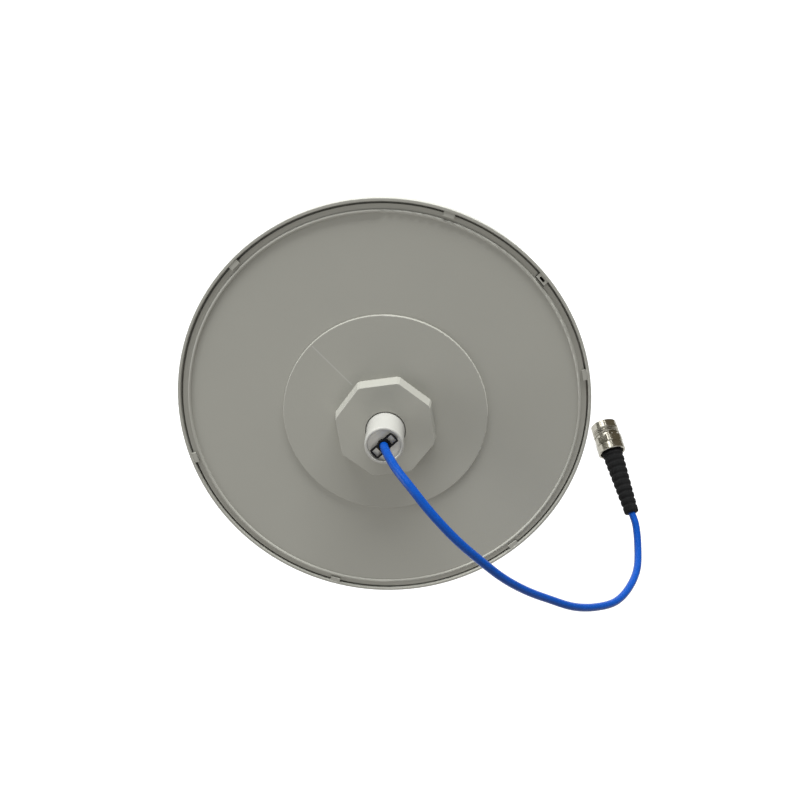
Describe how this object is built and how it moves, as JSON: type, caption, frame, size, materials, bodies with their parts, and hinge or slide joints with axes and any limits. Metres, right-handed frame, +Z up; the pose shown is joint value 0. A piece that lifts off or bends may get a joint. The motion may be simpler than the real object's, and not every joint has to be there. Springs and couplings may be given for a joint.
{
  "type": "ceiling antenna",
  "caption": "Round indoor ceiling antenna: domed radome, snapped-in base plate, octagonal turret, plain mounting tube and a short coax cable with boot and threaded jack.",
  "frame": {"origin": "centre of the turret's top face, on the mounting tube's axis, where the ceiling's underside lies", "axes": "+Z up along the tube into the ceiling; +Y from the tube's axis to the disc's centre, which stands 4.2 mm off it; +X to the side on which the cable leaves"},
  "size_m": [0.25, 0.206, 0.1592],
  "materials": {
    "abs_grey": "moulded, satin",
    "abs_white": "moulded, smooth",
    "nylon_black": "moulded",
    "steel": "zinc plated",
    "jacket_blue": "extruded, glossy",
    "brass": "turned",
    "ptfe": "turned",
    "silvered_wire": "drawn, silver plated",
    "aluminium_sheet": "rolled and spun",
    "nylon_natural": "turned",
    "rubber_black": "moulded",
    "nickel": "turned brass, nickel plated",
    "gilt_contact": "gold plated"
  },
  "bodies": {
    "root": {"radome": "abs_grey", "base_plate": "abs_grey", "mount_tube": "abs_white", "tube_ring": "nylon_black", "ring_screws": "steel", "cable_clip": "nylon_black", "cable": "jacket_blue", "feed_ferrule": "brass", "feed_core": "ptfe", "feed_wire": "silvered_wire", "ground_plane": "aluminium_sheet", "plane_screws": "steel", "feed_spacer": "ptfe", "radiator_cone": "aluminium_sheet", "standoffs": "nylon_natural", "standoff_screws": "steel", "boot": "rubber_black", "crimp_sleeve": "nickel", "jack_body": "nickel", "jack_insulator": "ptfe", "jack_contact": "gilt_contact"}
  },
  "joints": []
}
